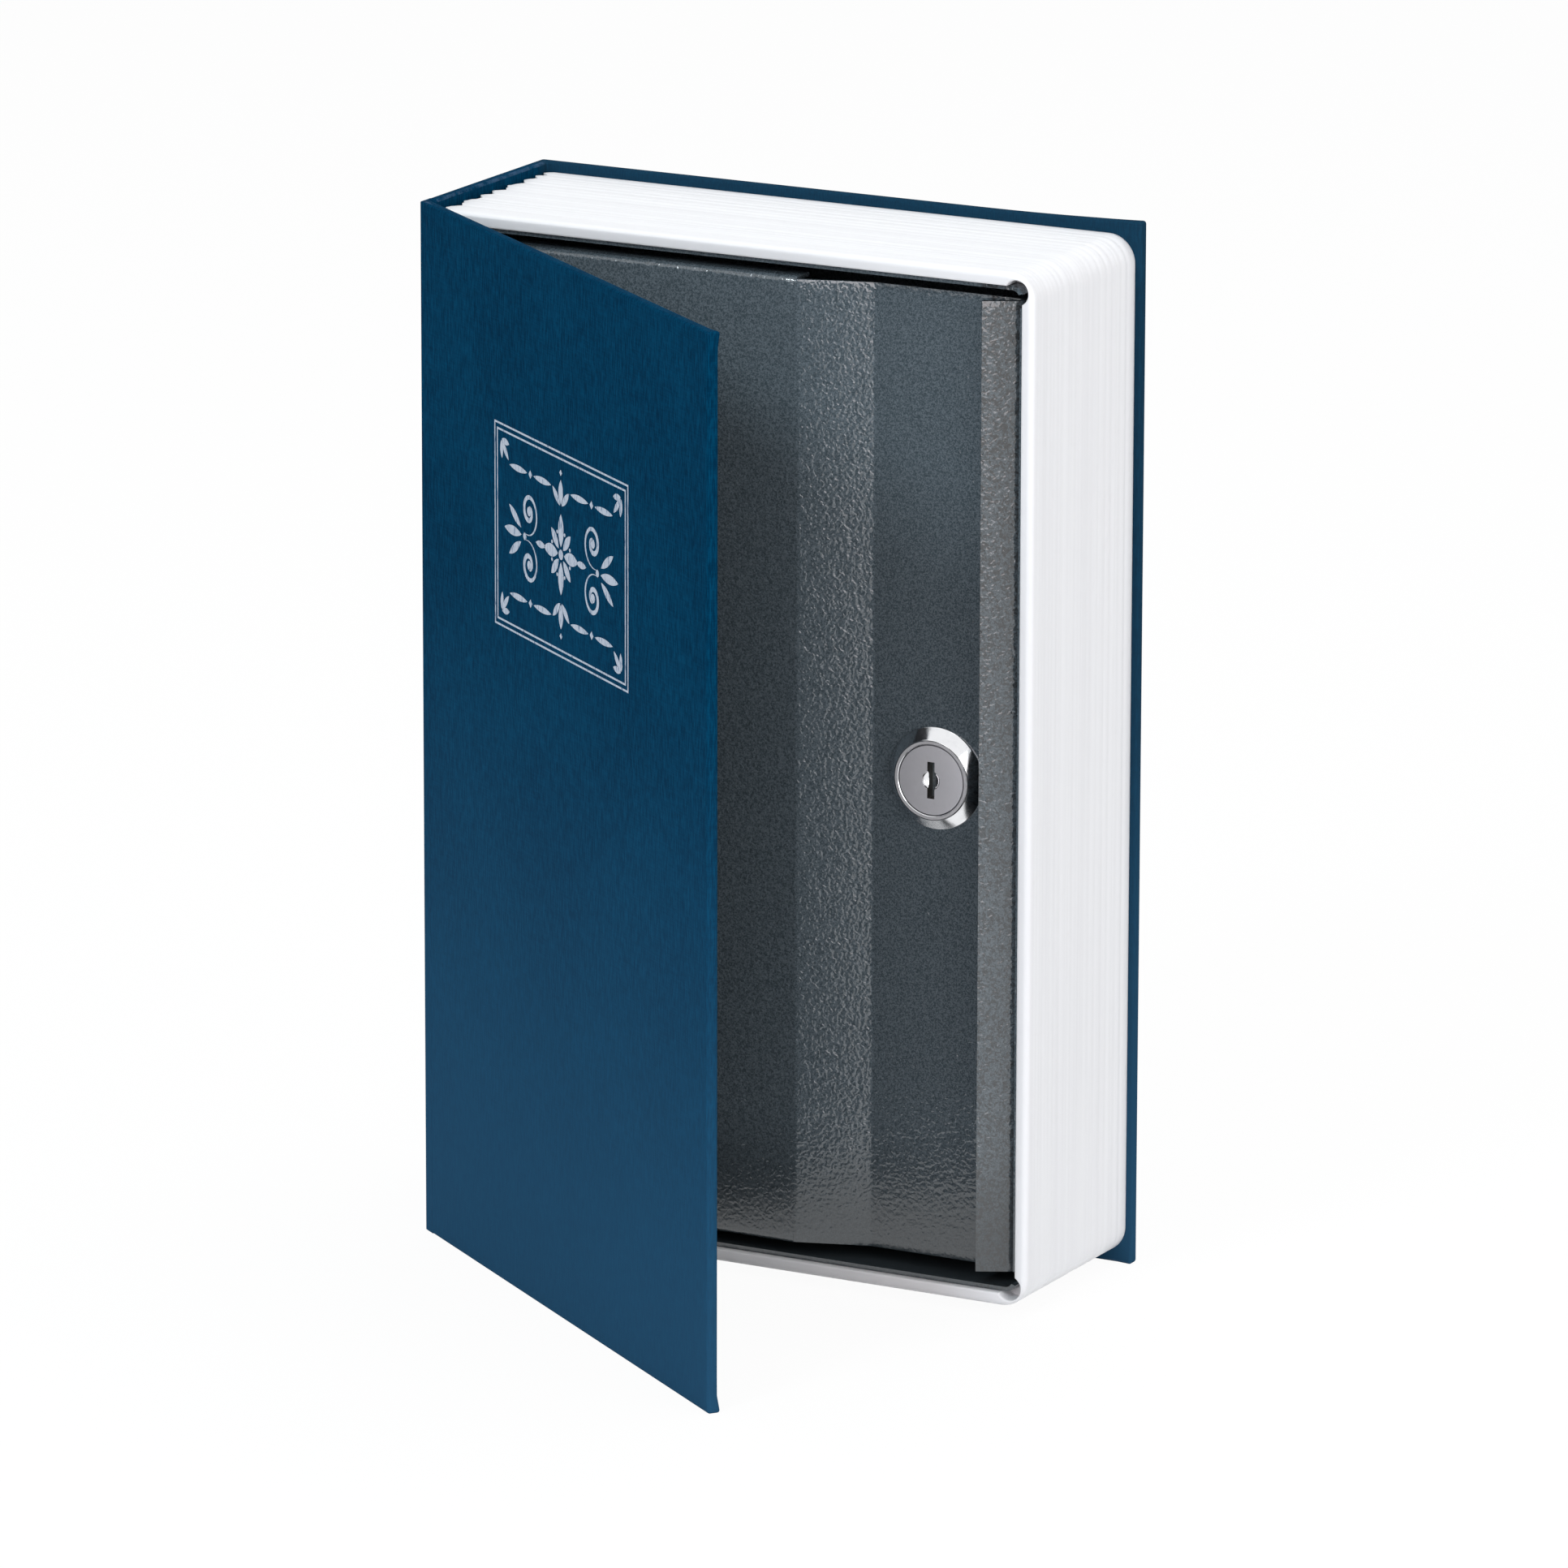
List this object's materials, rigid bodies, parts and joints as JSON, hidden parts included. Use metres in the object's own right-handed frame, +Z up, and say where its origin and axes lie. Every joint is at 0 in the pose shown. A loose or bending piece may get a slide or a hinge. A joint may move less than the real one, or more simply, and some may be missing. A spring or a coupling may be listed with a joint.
{
  "type": "book diversion safe",
  "caption": "Hard-bound book case around a moulded page block with a steel box inside, closed by an inset keyed door and hidden by the front cover.",
  "frame": {"origin": "foot of the back cover, halfway along its width and halfway through its thickness", "axes": "+Z up along the book's height, +X from the spine to the fore edge, +Y from the front cover to the back cover"},
  "size_m": [0.1543, 0.1475, 0.24],
  "materials": {
    "cloth": "dark blue book cloth with a fine weave",
    "board": "raw grey bookbinding board",
    "paper": "matt charcoal endpaper",
    "pages": "white moulded plastic, lightly grooved like page edges",
    "hammertone": "dark grey hammertone paint on steel",
    "zinc_plate": "bright zinc plating",
    "chrome": "polished chrome plating",
    "satin_zinc": "satin die-cast zinc",
    "brass": "stamped brass"
  },
  "bodies": {
    "book": {"spine_board": "board", "back_board": "board", "case_cloth": "cloth", "page_frame": "pages", "box_body": "hammertone", "keeper": "hammertone", "upper_hinge_pin": "zinc_plate", "lower_hinge_pin": "zinc_plate"},
    "crease": {"hinge_crease": "cloth"},
    "front_cover": {"front_board": "board", "front_cloth": "cloth", "front_endpaper": "paper"},
    "door": {"door_panel": "hammertone", "lock_housing": "chrome", "lock_washer": "zinc_plate", "lock_nut": "zinc_plate"},
    "lock_core": {"lock_plug": "satin_zinc", "cam": "zinc_plate", "cam_washer": "zinc_plate", "cam_screw": "zinc_plate", "wafer_1": "brass", "wafer_2": "brass", "wafer_3": "brass", "wafer_4": "brass", "wafer_5": "brass"}
  },
  "joints": [
    {"name": "door_hinge", "type": "hinge", "parent": "book", "child": "door", "pos_m": [-0.0644, -0.0472, 0.12], "axis": [0, 0, -1], "range_deg": [0, 90]},
    {"name": "cover_carry", "type": "hinge", "parent": "book", "child": "crease", "pos_m": [-0.07687, -0.05165, 0.12], "axis": [0, 0, -1], "range_deg": [0, 90]},
    {"name": "cover_swing", "type": "hinge", "parent": "crease", "child": "front_cover", "pos_m": [-0.077, -0.0542, 0.12], "axis": [0, 0, -1], "range_deg": [-36.7, 139.3]},
    {"name": "lock_turn", "type": "hinge", "parent": "door", "child": "lock_core", "pos_m": [0.0487, -0.047, 0.12], "axis": [0, 1, 0], "range_deg": [0, 90]}
  ],
  "couplings": [
    {"joint": "cover_carry", "follows": "door_hinge", "ratio": 1}
  ]
}
